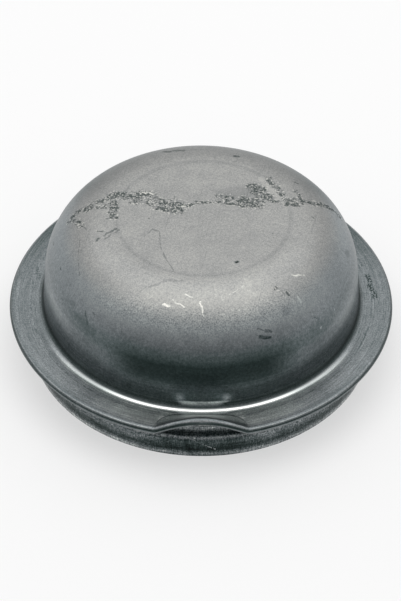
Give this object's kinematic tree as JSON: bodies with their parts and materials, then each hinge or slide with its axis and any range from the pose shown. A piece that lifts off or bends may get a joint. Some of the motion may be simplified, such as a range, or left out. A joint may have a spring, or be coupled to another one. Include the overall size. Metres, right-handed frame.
{
  "type": "wheel hub grease cap",
  "caption": "Drawn sheet-steel grease cap for a wheel hub: domed crown, folded flange with a raised prising lip, and a stepped press-fit skirt.",
  "frame": {"origin": "on the cap's axis, in the plane of the skirt's lower edge", "axes": "+Z along the cap's axis, from the open mouth to the crown; -Y through the middle of the prising lip"},
  "size_m": [0.08, 0.0792, 0.0322],
  "materials": {
    "steel": "satin"
  },
  "bodies": {
    "root": {"cap": "steel"}
  },
  "joints": []
}
